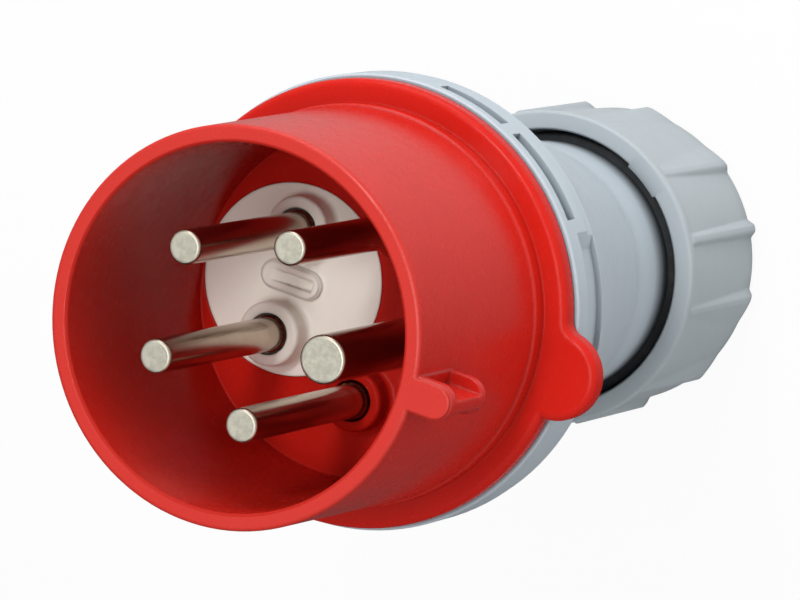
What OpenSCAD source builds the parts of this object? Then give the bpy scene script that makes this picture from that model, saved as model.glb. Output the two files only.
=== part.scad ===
// Industrial pin and sleeve plug, 16 A, five poles, with a phase reversing insert.
// It stands on its gland nut: z = 0 is the nut's rear face, +Z points out of the sleeve,
// and +X points at the key on the sleeve and at the thumb tab on the flange.
// Sizes are in millimetres.

/* [Sleeve] */
// Height of the sleeve's rim above the gland nut's rear face
rim_z = 142; // [139:0.5:150]
// Outer radius of the sleeve at the rim
sleeve_r = 28.5; // [28:0.1:28.8]
// Wall thickness of the sleeve at the rim
sleeve_wall = 2.5; // [2:0.1:3]
// Depth from the rim to the contact floor
sleeve_depth = 42.5; // [41:0.5:44]
// Width of the flange round the sleeve
flange_w = 4.3; // [4:0.1:5]
// Radius of the round thumb tab on the flange
tab_r = 6.55; // [5:0.1:7]
// Length of the key along the sleeve
key_len = 12; // [10:0.5:14]
// Width of the key
key_w = 5.3; // [4:0.1:6]
// How far the key stands out of the sleeve
key_h = 5.9; // [5:0.1:6.5]

/* [Contacts] */
// Radius of the contacts' circle as a share of the sleeve's radius
circle_share = 0.4832; // [0.48:0.001:0.488]
// Radius of a phase or neutral pin
pin_r = 2.5; // [2.3:0.1:2.6]
// Radius of the earth pin
earth_r = 3.5; // [3:0.1:3.6]
// Distance of the phase pins' tips below the rim
pin_recess = 1.6; // [1:0.1:4]
// How far the insert presses in before it turns
press_in = 2.5; // [1:0.1:2.8]

/* [Housing] */
// How far the housing's collar stands out past the flange
collar_lip = 0.6; // [0.4:0.1:1]
// Height of the collar along the axis
collar_h = 10.8; // [10.5:0.1:11.5]
// Radius of the neck where it enters the gland nut
neck_r = 19.75; // [19.5:0.05:20]

/* [Gland] */
// Height of the gland nut
nut_h = 30; // [29:0.5:30]
// Radius over the gland nut's grip ribs
rib_tip_r = 24.7; // [24:0.1:26]
// Grip ribs in each of the four groups round the gland nut
group_ribs = 3; // [1:1:4]
// Radius of the cable entry in the gland nut
entry_r = 10.5; // [9:0.1:10.8]
// Radius of the cable hole in the rubber grommet
grommet_hole_r = 7.5; // [5:0.1:9]

/* [Hidden] */

run = 0.07;                     // radial play of the insert in the floor
boss_h = 3.8;                   // height of the contacts' collars
collar_gap = 0.6;               // open ring between a contact's free part and its collar
floor_z = rim_z - sleeve_depth; // front face of the contact floor
floor_t = 3.3;
back_z = floor_z - floor_t;     // rear face of the contact floor
flange_t = 3;
rim_in_r = sleeve_r - sleeve_wall;
root_in_r = rim_in_r - 0.35;    // inside of the sleeve at the floor
root_r = sleeve_r + 0.45;       // outside of the sleeve at the bead
flange_r = sleeve_r + flange_w;
flange_z1 = floor_z + 0.9;      // front face of the flange
flange_z0 = flange_z1 - flange_t;
skirt_t = 2.5;
skirt_r = flange_r - 2.7;
skirt_in_r = skirt_r - skirt_t;
skirt_z0 = back_z - 7.7;
tip_z = rim_z - pin_recess;
key_front_t = 1.9;              // thickness of the key's front plate
key_end_t = 1.2;                // and of its rear plate
key_web_t = 1.9;                // web between the plates
key_web_y = 0.8;                // flank of the web towards the pocket that is open to view
barrel_len = 16.2;              // terminals behind the contact floor
tail_z = back_z - barrel_len;   // wire end of the terminals
barrel_t = 1.1;                 // how much thicker a terminal is than its pin
circle_r = sleeve_r * circle_share;
insert_x = -circle_r * cos(36); // axis of the phase insert
swing_r = circle_r * sin(36);   // distance of its pins from that axis
plate_screw_x = swing_r * 1.05;
insert_r = root_in_r + insert_x - 0.33;
hub_r = insert_r - 0.9;         // insert behind the contact floor
driver_l = 9.9;                 // oval boss for the driver
driver_w = 4.3;
driver_slot = 1.7;
collar_r = flange_r + collar_lip;
collar_z1 = flange_z0 - 0.4;    // front face of the housing's collar
collar_z0 = collar_z1 - collar_h;
arm_gap = 20.2;
arm_t = 4;
arm_z1 = back_z - arm_gap;      // top of the arm that carries the insert
arm_z0 = arm_z1 - arm_t;
step_z = back_z - 6.2;          // shoulder of the terminals
plate_t = 3.5;
plate_z = step_z - plate_t;     // rear face of the insert's plate
carrier_z = plate_z - 0.5;      // rear face of the terminal carrier
carrier_r = skirt_in_r - 0.4;
web_x = insert_x + insert_r - 0.14;
mouth_z = nut_h - 5;            // bottom of the nut's front mouth
tail_r = neck_r - 0.65;         // threaded tail of the housing
cage_r = tail_r - 4.1;          // outside of the clamp cage
seat_z = nut_h - 8;             // shoulder that the clamp cage seats on
nut_phase = 28.4;               // direction of the first group of grip ribs
screw_seats = [[36, carrier_r - 3.8], [-36, carrier_r - 3.8], [91.3, carrier_r - 4.7], [-91.3, carrier_r - 4.7]];

// Points of an arc round (x, y)
function arc(x, y, r, a0, a1, n = 4) =
    [for (i = [0:n]) let (a = a0 + (a1 - a0) * i / n) [x + r * cos(a), y + r * sin(a)]];

// Place the children at an angle and a distance from the plug's axis
module at(angle, dist) { rotate([0, 0, angle]) translate([dist, 0, 0]) children(); }

// Place the children on the axis of the phase insert
module on_insert() { translate([insert_x, 0, 0]) children(); }

// Solid cylinder between two heights
module post(r, z0, z1, fn = 48) { translate([0, 0, z0]) cylinder(r = r, h = z1 - z0, $fn = fn); }

// Ring between two radii and two heights
module ring(r0, r1, z0, z1, fn = 96) {
    rotate_extrude($fn = fn) translate([r0, z0]) square([r1 - r0, z1 - z0]);
}

// Part of a ring, from one angle round to another
module ring_part(r0, r1, z0, z1, a0, a1) {
    rotate([0, 0, a0]) rotate_extrude(angle = a1 - a0, $fn = 96)
        translate([r0, z0]) square([r1 - r0, z1 - z0]);
}

// Collar round a contact: it flares into the floor and has a rounded lip
module contact_boss(r, z, h) {
    rotate_extrude($fn = 64) polygon(concat(
        [[0, z - 1], [r + 0.75, z - 1], [r + 0.75, z]],
        arc(r + 0.75, z + 0.75, 0.75, 270, 180, 3),
        arc(r - 0.6, z + h - 0.6, 0.6, 0, 90, 3),
        [[0, z + h]]));
}

// Outline with straight sides and round ends
module stadium(l, w) {
    square([l - w, w], center = true);
    for (s = [-1, 1]) translate([s * (l - w) / 2, 0]) circle(d = w, $fn = 32);
}

// Turned contact: pin, shoulder and terminal barrel with wire hole and screw hole
module contact(r, tip) {
    barrel_r = r + barrel_t;
    wire_r = barrel_r * 0.475;
    difference() {
        rotate_extrude($fn = 64) polygon(concat(
            [[0, tail_z], [barrel_r - 0.4, tail_z], [barrel_r, tail_z + 0.4], [barrel_r, step_z],
             [barrel_r + 0.6, step_z], [barrel_r + 0.6, back_z], [r + 0.2, back_z],
             [r + 0.2, floor_z + boss_h + 0.1], [r, floor_z + boss_h + 0.3]],
            arc(r - 0.5, tip - 0.5, 0.5, 0, 90, 4),
            [[0, tip]]));
        post(wire_r, tail_z - 1, tail_z + 11, 32);
        translate([0, 0, tail_z + 3.5]) rotate([0, 90, 0]) cylinder(r = 1.55, h = barrel_r + 2, $fn = 32);
    }
}

// Stepped hole that takes a contact's terminal and its shoulder
module barrel_seat(r, z0, z1) {
    post(r + barrel_t + 0.05, z0, z1);
    post(r + barrel_t + 0.65, step_z, z1);
}

// Slotted clamp screw of a terminal; it lies along +X from the barrel's axis
module terminal_screw(pin) {
    barrel_r = pin + barrel_t;
    translate([0, 0, tail_z + 3.5]) rotate([0, 90, 0]) difference() {
        union() {
            translate([0, 0, barrel_r * 0.475]) cylinder(r = 1.5, h = barrel_r * 0.525 + 0.2, $fn = 32);
            translate([0, 0, barrel_r]) cylinder(r = 1.5, h = 0.9, $fn = 32);
        }
        translate([-2, -0.25, barrel_r + 0.3]) cube([4, 0.5, 1]);
    }
}

// Pan head screw that points up; its head bears at z = 0
module pan_screw(r, head_r, head_h, len) {
    difference() {
        rotate_extrude($fn = 32) polygon(concat(
            [[0, -head_h], [head_r - 0.7, -head_h]],
            arc(head_r - 0.7, -head_h + 0.7, 0.7, 285, 360, 3),
            [[head_r, 0], [r, 0], [r, len - 0.6], [r - 0.6, len], [0, len]]));
        for (a = [0, 90]) rotate([0, 0, a])
            translate([-head_r * 0.55, -0.3, -head_h - 1]) cube([head_r * 1.1, 0.6, 1.8]);
    }
}

// Outline of the key: straight flanks and a half round outer edge
module key_outline(inset = 0) {
    w = key_w / 2 - inset;
    tip_x = sleeve_r + key_h - key_w / 2;
    translate([sleeve_r - 1.1, -w]) square([tip_x - sleeve_r + 1.1, 2 * w]);
    translate([tip_x, 0]) circle(r = w, $fn = 48);
}

// Key: an outline with softened front edges, cored from both sides so that a web joins its end plates
module key() {
    low = rim_z - key_len;
    difference() {
        union() {
            translate([0, 0, low]) linear_extrude(key_len - 0.4) key_outline();
            translate([0, 0, rim_z - 0.5]) linear_extrude(0.5) key_outline(0.3);
        }
        for (side = [key_web_y, key_web_y - key_web_t - key_w])
            translate([sleeve_r + 0.25, side, low + key_end_t]) cube([key_h + 1, key_w, key_len - key_end_t - key_front_t]);
    }
}

// Fillet between the flange's edge and the thumb tab
module tab_flank(side) {
    f = 2.4;
    tab_x = flange_r - 0.6;
    a = flange_r + f;
    b = tab_r + f;
    ang = acos((tab_x * tab_x + a * a - b * b) / (2 * tab_x * a));
    c = [a * cos(ang), side * a * sin(ang)];
    toward = atan2(c[1], c[0] - tab_x);
    difference() {
        translate([0, 0, flange_z0]) linear_extrude(flange_z1 - flange_z0) polygon([
            [tab_x - 4, side * 2], [flange_r * cos(ang), side * flange_r * sin(ang)], c,
            [tab_x + tab_r * cos(toward), tab_r * sin(toward)]]);
        translate([c[0], c[1], 0]) rotate_extrude($fn = 48) polygon(concat(
            [[0, flange_z0 - 1], [f, flange_z0 - 1]],
            arc(f + 1, flange_z1 - 1, 1, 180, 90, 4),
            [[f + 1, flange_z1 + 1], [0, flange_z1 + 1]]));
    }
}

// Red front part: sleeve, contact floor, flange with thumb tab, key and rear skirt
module front_sleeve() {
    color("red") difference() {
        union() {
            rotate_extrude($fn = 128) polygon(concat(
                [[0, back_z], [skirt_in_r, back_z], [skirt_in_r, skirt_z0], [skirt_r - 0.4, skirt_z0],
                 [skirt_r, skirt_z0 + 0.4], [skirt_r, flange_z0], [flange_r, flange_z0]],
                arc(flange_r - 1, flange_z1 - 1, 1, 0, 90, 4),
                [[root_r + 0.4, flange_z1]],
                arc(root_r, flange_z1 + 2.4, 0.4, 0, 90, 3),
                arc(sleeve_r - 0.5, rim_z - 0.5, 0.5, 0, 90, 3),
                [[rim_in_r + 0.3, rim_z], [rim_in_r, rim_z - 0.3], [root_in_r, floor_z], [0, floor_z]]));
            // thumb tab and its fillets
            translate([flange_r - 0.6, 0, 0]) rotate_extrude($fn = 64) polygon(concat(
                [[0, flange_z0], [tab_r, flange_z0]], arc(tab_r - 1, flange_z1 - 1, 1, 0, 90, 4),
                [[0, flange_z1]]));
            for (s = [-1, 1]) tab_flank(s);
            // key on the outside of the sleeve
            key();
            // collars round the fixed contacts
            at(0, circle_r) contact_boss(earth_r + 2.1, floor_z, boss_h);
            for (a = [72, -72]) at(a, circle_r) contact_boss(pin_r + 2.1, floor_z, boss_h);
            // pillars that take the carrier's screws
            for (p = screw_seats) at(p[0], p[1]) post(3, step_z, back_z + 1, 32);
            // bayonet lugs on the skirt
            for (a = [100, 280]) ring_part(skirt_r - 1, skirt_r + 1.2, skirt_z0 + 2.5, skirt_z0 + 5, a - 7, a + 7);
        }
        // seat of the phase insert
        on_insert() post(insert_r + run, back_z - 1, floor_z + 0.01, 96);
        on_insert() post(insert_r + 0.12, floor_z, floor_z + boss_h + 1, 96);
        // contact holes, wider inside the collars
        at(0, circle_r) { post(earth_r + 0.25, back_z - 1, floor_z + boss_h + 1); post(earth_r + collar_gap, floor_z - 1.5, floor_z + boss_h + 1); }
        for (a = [72, -72]) at(a, circle_r) {
            post(pin_r + 0.25, back_z - 1, floor_z + boss_h + 1);
            post(pin_r + collar_gap, floor_z - 1.5, floor_z + boss_h + 1);
        }
        for (p = screw_seats) at(p[0], p[1]) post(1.5, step_z - 1, back_z + 1.5, 24);
    }
}

// Thin seal between the flange and the housing
module flange_gasket() {
    color("dimgray") ring(skirt_r + 0.2, flange_r - 0.5, collar_z1, flange_z0, 128);
}

// Insulating block that holds the fixed terminals and the arm behind the insert
module terminal_carrier() {
    color("gainsboro") difference() {
        union() {
            intersection() {
                post(carrier_r, carrier_z, back_z, 96);
                translate([-5, -carrier_r - 3, carrier_z]) cube([carrier_r + 10, 2 * carrier_r + 6, 20]);
            }
            // web and arm that carry the insert's rear bearing
            translate([web_x, -4.5, arm_z0]) cube([5, 9, carrier_z - arm_z0 + 1]);
            translate([insert_x, -4.5, arm_z0]) cube([web_x - insert_x + 1, 9, arm_t]);
            on_insert() post(5.2, arm_z0, arm_z1);
            // barriers between the terminals
            for (a = [36, -36]) rotate([0, 0, a]) translate([circle_r - 5.3, -0.8, carrier_z - 9])
                cube([carrier_r - circle_r - 2.5, 1.6, 10]);
        }
        on_insert() { post(hub_r + 0.6, arm_z1 + 0.01, back_z + 1, 96); post(insert_r + 0.2, back_z - 3, back_z + 1, 96); }
        on_insert() post(2.05, arm_z0 - 1, arm_z1 + 1);
        at(0, circle_r) barrel_seat(earth_r, carrier_z - 1, back_z + 1);
        for (a = [72, -72]) at(a, circle_r) barrel_seat(pin_r, carrier_z - 1, back_z + 1);
        for (p = screw_seats) at(p[0], p[1]) { post(1.8, carrier_z - 1, back_z + 1, 24); post(3.15, step_z, back_z + 1, 32); }
    }
}

// Fixed contacts
module earth_pin() { color("silver") at(0, circle_r) contact(earth_r, tip_z + 0.8); }
module neutral_pin() { color("silver") at(72, circle_r) contact(pin_r, tip_z); }
module line3_pin() { color("silver") at(-72, circle_r) contact(pin_r, tip_z); }
module earth_terminal_screw() { color("lightgray") at(0, circle_r) terminal_screw(earth_r); }
module neutral_terminal_screw() { color("lightgray") at(72, circle_r) terminal_screw(pin_r); }
module line3_terminal_screw() { color("lightgray") at(-72, circle_r) terminal_screw(pin_r); }

// Screws that hold the carrier to the sleeve's floor
module carrier_screws() {
    color("lightgray") for (p = screw_seats) at(p[0], p[1])
        translate([0, 0, carrier_z]) pan_screw(1.45, 3, 2.2, 9);
}

// White turning insert with two contact collars and the driver boss
module phase_insert() {
    color("ivory") on_insert() difference() {
        union() {
            post(insert_r, back_z, floor_z, 96);
            post(hub_r, step_z, back_z + 0.01, 96);
            for (s = [-1, 1]) translate([0, s * swing_r, 0]) contact_boss(pin_r + 2.3, floor_z, boss_h);
            // oval boss for the driver
            translate([0, 0, floor_z - 0.5]) linear_extrude(1.2) stadium(driver_l, driver_w);
            translate([0, 0, floor_z + 0.6]) linear_extrude(0.4) stadium(driver_l - 0.6, driver_w - 0.6);
            // stub that runs in the carrier's arm
            post(3.2, back_z - 12.2, step_z + 0.01);
            post(2, arm_z0 - 2.2, back_z - 12);
        }
        for (s = [-1, 1]) translate([0, s * swing_r, 0]) {
            post(pin_r + 0.25, step_z - 1, floor_z + boss_h + 1);
            post(pin_r + collar_gap, floor_z - 1.5, floor_z + boss_h + 1);
            post(pin_r + barrel_t + 0.65, step_z - 1, back_z);
        }
        // driver slot with a ramped floor
        translate([0, driver_slot / 2, floor_z]) rotate([90, 0, 0]) linear_extrude(driver_slot)
            polygon([[-driver_l * 0.38, 1.1], [driver_l * 0.37, -0.5], [driver_l * 0.37, 1.1]]);
        // groove for the clip and holes for the plate's screws
        ring(1.6, 3, arm_z0 - 1, arm_z0, 48);
        for (s = [-1, 1]) translate([s * plate_screw_x, 0, 0]) post(1.15, step_z - 1, back_z, 24);
    }
}

// Pins that turn with the insert
module line1_pin() { color("silver") on_insert() rotate([0, 0, 90]) translate([swing_r, 0, 0]) contact(pin_r, tip_z); }
module line2_pin() { color("silver") on_insert() rotate([0, 0, -90]) translate([swing_r, 0, 0]) contact(pin_r, tip_z); }
module line1_terminal_screw() { color("lightgray") on_insert() rotate([0, 0, 90]) translate([swing_r, 0, 0]) terminal_screw(pin_r); }
module line2_terminal_screw() { color("lightgray") on_insert() rotate([0, 0, -90]) translate([swing_r, 0, 0]) terminal_screw(pin_r); }

// Plate that keeps the two pins in the insert
module insert_plate() {
    color("ivory") on_insert() difference() {
        post(hub_r - 0.1, plate_z, step_z, 96);
        post(3.25, plate_z - 1, step_z + 1);
        for (s = [-1, 1]) translate([0, s * swing_r, 0]) post(pin_r + barrel_t + 0.05, plate_z - 1, step_z + 1);
        for (s = [-1, 1]) translate([s * plate_screw_x, 0, 0]) post(1.3, plate_z - 1, step_z + 1, 24);
    }
}

module insert_plate_screws() {
    color("lightgray") on_insert() for (s = [-1, 1]) translate([s * plate_screw_x, 0, plate_z]) pan_screw(1.1, 2, 1.3, 7);
}

// Open clip that keeps the insert's stub in the arm
module insert_clip() {
    color("darkgray") on_insert() difference() {
        ring(1.62, 3.9, arm_z0 - 0.98, arm_z0 - 0.02, 48);
        translate([0, -1.1, arm_z0 - 2]) cube([6, 2.2, 4]);
    }
}

// Washer between the insert and its spring; it slides and doesn't turn
module insert_washer() {
    color("darkgray") on_insert() ring(2.05, 3.9, back_z - 13.2, back_z - 12.22, 48);
}

// Compression spring behind the insert
module insert_spring() {
    wire = 0.4;
    coil_r = 3;
    turns = 5;
    z0 = arm_z1 + wire + 0.02;
    rise = back_z - 13.2 - arm_z1 - 2 * wire - 0.04;
    steps = 20 * turns;
    sides = 8;
    // the end turns lie flat, and the pitch eases in between them
    function lift(t) = rise * (1 - cos(180 * t)) / 2;
    pts = [for (i = [0:steps]) let (a = 360 * turns * i / steps, c = lift(i / steps))
        for (j = [0:sides - 1]) let (b = 360 * j / sides, r = coil_r + wire * cos(b))
            [r * cos(a), r * sin(a), z0 + c + wire * sin(b)]];
    tube = [for (i = [0:steps - 1], j = [0:sides - 1])
        let (k = (j + 1) % sides) [i * sides + j, i * sides + k, (i + 1) * sides + k, (i + 1) * sides + j]];
    ends = [[for (j = [0:sides - 1]) sides - 1 - j], [for (j = [0:sides - 1]) steps * sides + j]];
    color("darkgray") on_insert() polyhedron(points = pts, faces = concat(tube, ends), convexity = 10);
}

// Grey housing: collar, tapered neck and the tail that the gland nut screws onto
module housing() {
    color("lightslategray") difference() {
        rotate_extrude($fn = 128) polygon(concat(
            // outside, from the tail up
            [[cage_r + 0.1, 7.5], [tail_r - 0.8, 7.5], [tail_r, 8.3], [tail_r, nut_h - 1.4], [neck_r, nut_h - 1.4],
             [neck_r, nut_h + 8]],
            arc(neck_r + 14, nut_h + 8, 14, 180, 158, 4),
            [[collar_r - 2.6, collar_z0 - 0.2], [collar_r - 1, collar_z0]],
            arc(collar_r - 1.3, collar_z0 + 1, 1, 280, 350, 3),
            [[collar_r - 0.3, collar_z0 + 2.9], [collar_r, collar_z0 + 3.2], [collar_r, collar_z1 - 0.3],
             [collar_r - 0.3, collar_z1]],
            // inside, from the collar down
            [[skirt_r + 0.3, collar_z1], [skirt_r + 0.3, skirt_z0 - 0.2], [skirt_in_r + 0.8, skirt_z0 - 0.2],
             [neck_r - 1.15, nut_h + 17], [neck_r - 2.55, nut_h + 10], [neck_r - 2.55, seat_z + 2.5],
             [cage_r - 3.5, seat_z + 2.5], [cage_r - 3.5, seat_z], [cage_r + 0.1, seat_z]]));
        // bayonet slots for the sleeve's lugs
        for (a = [100, 280]) {
            ring_part(skirt_r, skirt_r + 1.4, skirt_z0 + 2.2, skirt_z0 + 5.3, a - 9, a + 20);
            ring_part(skirt_r, skirt_r + 1.5, skirt_z0 + 1.9, collar_z1 + 1, a + 9, a + 24);
        }
        // two shallow windows in the collar
        for (w = [[39.2, 65], [69, 87.7]])
            ring_part(collar_r - 1.2, collar_r + 1, collar_z0 + 6.1, collar_z0 + 8.9, w[0], w[1]);
        // long recess beside the thumb tab, with ramped ends
        translate([0, 0, collar_z0 + 1.2]) linear_extrude(5.9) polygon(concat(
            arc(0, 0, collar_r - 1.2, -6, 31.5, 12), [[(collar_r + 0.1) * cos(36), (collar_r + 0.1) * sin(36)]],
            arc(0, 0, collar_r + 2, 36, -10.5, 12),
            [[(collar_r + 0.1) * cos(-10.5), (collar_r + 0.1) * sin(-10.5)]]));
    }
}

// Rubber ring in the mouth of the gland nut
module neck_seal() {
    color("black") rotate_extrude($fn = 96) polygon(concat(
        [[tail_r + 0.02, mouth_z + 0.05], [neck_r + 0.8, mouth_z + 0.05]],
        arc(neck_r + 0.45, mouth_z + 1.5, 0.85, 300, 420, 6),
        [[tail_r + 0.02, mouth_z + 2.9]]));
}

// Clamping cage: a ring with fingers round the grommet
module clamp_cage() {
    color("whitesmoke") difference() {
        union() {
            ring(cage_r - 5, cage_r, seat_z - 2.5, seat_z - 0.02);
            ring(cage_r - 1.7, cage_r, 9, seat_z - 2.5);
        }
        for (i = [0:5]) rotate([0, 0, i * 30 + 15])
            translate([-cage_r - 5, -0.6, 8]) cube([2 * cage_r + 10, 1.2, seat_z - 11]);
    }
}

// Rubber grommet that seals on the cable
module grommet() {
    color("darkslategray") rotate_extrude($fn = 96) polygon([
        [grommet_hole_r + 0.8, 7.85], [cage_r - 2.8, 7.85], [cage_r - 1.8, 9.5], [cage_r - 1.8, seat_z - 2.52],
        [grommet_hole_r + 0.8, seat_z - 2.52], [grommet_hole_r, seat_z - 3.3], [grommet_hole_r, 8.65]]);
}

// Slip ring between the nut and the grommet
module thrust_ring() {
    color("whitesmoke") rotate_extrude($fn = 96) polygon([
        [entry_r + 0.3, 3.05], [tail_r, 3.05], [tail_r, 6], [cage_r, 6], [cage_r - 1.1, 7.8], [entry_r + 0.3, 7.8]]);
}

// Grip rib in the middle of a group: round tip and hollow fillets down to the nut's body
module middle_rib(root, tip_x, r) {
    polygon(concat(
        [[root - 1, 2 * r], [root - 0.1, 2 * r]],
        arc(root + r, 2 * r, r, 180, 270),
        arc(tip_x - r, 0, r, 90, -90, 8),
        arc(root + r, -2 * r, r, 90, 180),
        [[root - 0.1, -2 * r], [root - 1, -2 * r]]));
}

// Grip rib beside the middle: it points the way its group is drawn from the mould,
// with a hollow fillet on the inner flank and a ramp on the outer one
module side_rib(root, tip, a, r) {
    y = root * sin(a);
    foot = sqrt(root * root - pow(y - 2 * r, 2)) - 0.1;
    tip_x = sqrt(tip * tip - y * y);
    polygon(concat(
        [[foot - 2, y - 2 * r], [foot, y - 2 * r]],
        arc(foot + r, y - 2 * r, r, 180, 90),
        arc(tip_x - r, y, r, -90, 45, 6),
        [[(root - 0.05) * cos(a + 10), (root - 0.05) * sin(a + 10)],
         [(root - 2) * cos(a + 10), (root - 2) * sin(a + 10)]]));
}

// Gland nut with four groups of grip ribs, each drawn in one direction
module gland_nut() {
    flat_r = rib_tip_r - 1.4;
    step = 84.6 / group_ribs;
    color("slategray") difference() {
        union() {
            rotate_extrude($fn = 128) polygon(concat(
                [[0, 0], [flat_r - 1.6, 0]], arc(flat_r - 1.4, 1.4, 1.4, 280, 355, 4),
                [[rib_tip_r - 0.3, nut_h - 1.6], [rib_tip_r - 0.3, nut_h - 0.5], [rib_tip_r - 0.8, nut_h], [0, nut_h]]));
            for (g = [0:3], i = [0:group_ribs - 1])
                let (a = (i - (group_ribs - 1) / 2) * step)
                    rotate([0, 0, nut_phase + 90 * g]) mirror([0, a < 0 ? 1 : 0, 0])
                        translate([0, 0, 0.9]) linear_extrude(nut_h - 2.5) {
                            if (a == 0) middle_rib(flat_r, rib_tip_r, 0.68);
                            else side_rib(flat_r, rib_tip_r - 0.35, abs(a), 0.62);
                        }
        }
        post(entry_r, -1, nut_h + 1, 96);
        post(tail_r + 0.25, 3, nut_h + 1, 96);
        post(neck_r + 1.75, mouth_z, nut_h + 1, 96);
    }
    // short tab inside the front ring
    color("slategray") ring_part(neck_r + 1.35, neck_r + 2.2, mouth_z + 1.6, nut_h - 0.02, 49, 66);
}

front_sleeve();
flange_gasket();
terminal_carrier();
earth_pin();
neutral_pin();
line3_pin();
earth_terminal_screw();
neutral_terminal_screw();
line3_terminal_screw();
carrier_screws();
phase_insert();
line1_pin();
line2_pin();
insert_plate();
insert_plate_screws();
line1_terminal_screw();
line2_terminal_screw();
insert_clip();
insert_washer();
insert_spring();
housing();
neck_seal();
clamp_cage();
grommet();
thrust_ring();
gland_nut();
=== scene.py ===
"""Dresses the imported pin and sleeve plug: moulded shells, ribbed nut, plated contacts, rubber and studio.

Lengths are in metres. The plug stands on its gland nut, with +Z out of the sleeve and +X towards the key.
"""

import math

import bmesh
import bpy
from mathutils import Matrix, Vector


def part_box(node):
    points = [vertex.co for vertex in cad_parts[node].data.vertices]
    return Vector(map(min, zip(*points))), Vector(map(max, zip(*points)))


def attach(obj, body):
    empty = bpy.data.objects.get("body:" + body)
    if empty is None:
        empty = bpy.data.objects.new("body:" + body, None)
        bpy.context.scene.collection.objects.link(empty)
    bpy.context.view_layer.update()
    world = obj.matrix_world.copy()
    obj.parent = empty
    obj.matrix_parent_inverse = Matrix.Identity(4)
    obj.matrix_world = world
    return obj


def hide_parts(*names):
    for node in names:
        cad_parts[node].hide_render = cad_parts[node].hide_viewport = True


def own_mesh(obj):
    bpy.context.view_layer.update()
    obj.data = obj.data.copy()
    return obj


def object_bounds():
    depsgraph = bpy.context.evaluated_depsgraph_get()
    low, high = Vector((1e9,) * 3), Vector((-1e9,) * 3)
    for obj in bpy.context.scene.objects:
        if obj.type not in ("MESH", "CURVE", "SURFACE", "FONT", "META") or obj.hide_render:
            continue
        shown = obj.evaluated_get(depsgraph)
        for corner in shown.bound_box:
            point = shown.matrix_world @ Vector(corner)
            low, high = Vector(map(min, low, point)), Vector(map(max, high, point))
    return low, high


bl_info = {
    "name": "Pin and sleeve plug",
    "version": (1, 0, 0),
    "blender": (4, 5, 0),
    "location": "3D View > Sidebar > Plug",
    "description": "Dresses a five pole pin and sleeve plug and sets it in a white studio",
    "category": "Object",
}

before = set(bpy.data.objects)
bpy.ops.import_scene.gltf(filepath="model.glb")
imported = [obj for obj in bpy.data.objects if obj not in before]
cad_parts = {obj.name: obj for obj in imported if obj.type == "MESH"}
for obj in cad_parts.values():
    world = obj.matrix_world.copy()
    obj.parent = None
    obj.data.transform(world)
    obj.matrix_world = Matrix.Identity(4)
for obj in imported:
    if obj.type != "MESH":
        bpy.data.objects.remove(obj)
cad_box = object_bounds()

MM = 0.001
NUT_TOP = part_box("gland_nut")[1].z
TAIL_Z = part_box("housing")[0].z
RIM_Z = cad_box[1][2]
INSERT_RISE = 3.8 * MM  # the insert's collars over the contact floor
FLOOR_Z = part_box("phase_insert")[1].z - INSERT_RISE
PIVOT_X = (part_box("insert_washer")[0].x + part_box("insert_washer")[1].x) / 2
SLEEVE_BORE_R = 26.4 * MM  # just outside the sleeve's bore
SPRING_WIRE_R = 0.4 * MM
GROMMET_BORE_R = 7.5 * MM
LIP_R = 0.4 * MM

# thread on the housing's tail
THREAD_START = 2.2 * MM  # from the tail's end
THREAD_LENGTH = 14.0 * MM
THREAD_SECTION = ((0.0002, -0.0004), (0.0002, 0.0004), (-0.0003, 0.0011), (-0.0003, -0.0011))

# gland nut: radii, heights from its rear face, and how far things stand below the middle ribs' tips
NUT_STEPS = 720
RIB_TIP_R = 24.7 * MM
SIDE_RIB_DROP = 0.35 * MM
RING_DROP = 0.3 * MM
BODY_DROP = 0.55 * MM
MOUTH_R = 21.5 * MM
NUT_BORE_R = 19.35 * MM
CABLE_HOLE_R = 10.5 * MM
REAR_ROUND = 1.4 * MM
RIB_REAR_Z = 0.9 * MM
REAR_WALL = 3.0 * MM
MOUTH_FLOOR_Z = 25.0 * MM
RING_HEIGHT = 1.6 * MM
RING_ROUND = 0.5 * MM
BEVEL = 0.4 * MM
TAPER_STEPS = 26
FIRST_GROUP = math.radians(28.4)
RAMP = 4.7 * MM
TAB_Z = 26.6 * MM
TAB_DEPTH = 0.4 * MM
TAB_START = math.radians(49)
TAB_END = math.radians(66)

# directions of the studio: up in the view, and from the plug to the camera
ABOVE = (-0.31, 0.95, -0.08)
AHEAD = (0.364, 0.200, 0.910)
SENSOR_WIDTH = 36.0  # in mm
FAR = 50.0
FLOOR_HALF = 8

# each lamp's place from the middle of the view, and its width
LAMPS = {
    "front": ((-0.05, 0.49, 1.09), 0.24),
    "fill": ((0.14, -0.02, 1.24), 0.5),
    "top": ((-0.35, 1.12, 0.35), 0.9),
}


# ---------------------------------------------------------------- node helpers


def add(tree, kind, feeds=None, **settings):
    """Adds one node. feeds maps an input's name or number to its value, or to the output that feeds it."""
    node = tree.nodes.new(kind)
    for name, value in settings.items():
        setattr(node, name, value)
    for key, value in (feeds or {}).items():
        if isinstance(value, bpy.types.NodeSocket):
            tree.links.new(value, node.inputs[key])
        else:
            node.inputs[key].default_value = value
    return node


def maths(tree, operation, *values):
    """Math node: the operation on one to three numbers or outputs. Returns its output."""
    return add(tree, "ShaderNodeMath", dict(enumerate(values)), operation=operation).outputs[0]


def plus(tree, first, second):
    return maths(tree, "ADD", first, second)


def minus(tree, first, second):
    return maths(tree, "SUBTRACT", first, second)


def times(tree, first, *others):
    """The product of two or more numbers or outputs."""
    for other in others:
        first = maths(tree, "MULTIPLY", first, other)
    return first


def vector_maths(tree, operation, *values, out=0):
    """Vector Math node. Returns its vector, or with out=1 its number."""
    return add(tree, "ShaderNodeVectorMath", dict(enumerate(values)), operation=operation).outputs[out]


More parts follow.
